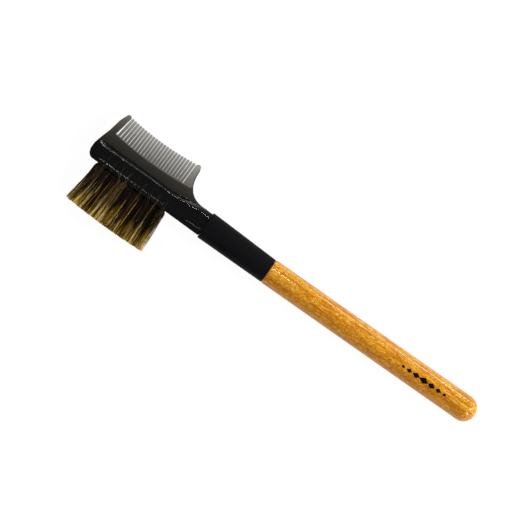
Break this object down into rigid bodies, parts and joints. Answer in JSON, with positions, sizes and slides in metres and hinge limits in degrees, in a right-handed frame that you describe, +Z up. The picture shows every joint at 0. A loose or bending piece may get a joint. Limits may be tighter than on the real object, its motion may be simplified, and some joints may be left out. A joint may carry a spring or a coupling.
{
  "type": "brow and lash comb brush",
  "caption": "Hand grooming tool with a fine comb and a stapled bristle brush back to back on a smoky plastic head, glued by a black ferrule to a varnished wooden handle.",
  "frame": {"origin": "middle of the bottom of the bounding box, with the tool lying flat", "axes": "+X towards the handle's end, +Y towards the comb's teeth (bristles towards -Y), +Z up out of the head's front face"},
  "size_m": [0.15, 0.034, 0.0088],
  "materials": {
    "varnished_wood": "clear gloss varnish over honey-coloured wood with fine darker flecks",
    "black_metal": "matt black paint",
    "smoky_plastic": "polished smoky see-through moulding, nearly black where thick and grey where thin",
    "bristle": "stiff bristles, dark brown at the root and straw-coloured at the trimmed end",
    "steel": "bright flat wire",
    "glue": "set amber glue"
  },
  "bodies": {
    "root": {"handle": "varnished_wood", "ferrule": "black_metal", "ferrule_adhesive": "glue", "head_frame": "smoky_plastic", "tuft_front_1": "bristle", "tuft_front_2": "bristle", "tuft_front_3": "bristle", "tuft_front_4": "bristle", "tuft_front_5": "bristle", "tuft_front_6": "bristle", "tuft_front_7": "bristle", "tuft_front_8": "bristle", "tuft_front_9": "bristle", "tuft_back_1": "bristle", "tuft_back_2": "bristle", "tuft_back_3": "bristle", "tuft_back_4": "bristle", "tuft_back_5": "bristle", "tuft_back_6": "bristle", "tuft_back_7": "bristle", "tuft_back_8": "bristle", "tuft_back_9": "bristle", "anchor_front_1": "steel", "anchor_front_2": "steel", "anchor_front_3": "steel", "anchor_front_4": "steel", "anchor_front_5": "steel", "anchor_front_6": "steel", "anchor_front_7": "steel", "anchor_front_8": "steel", "anchor_front_9": "steel", "anchor_back_1": "steel", "anchor_back_2": "steel", "anchor_back_3": "steel", "anchor_back_4": "steel", "anchor_back_5": "steel", "anchor_back_6": "steel", "anchor_back_7": "steel", "anchor_back_8": "steel", "anchor_back_9": "steel"}
  },
  "joints": []
}
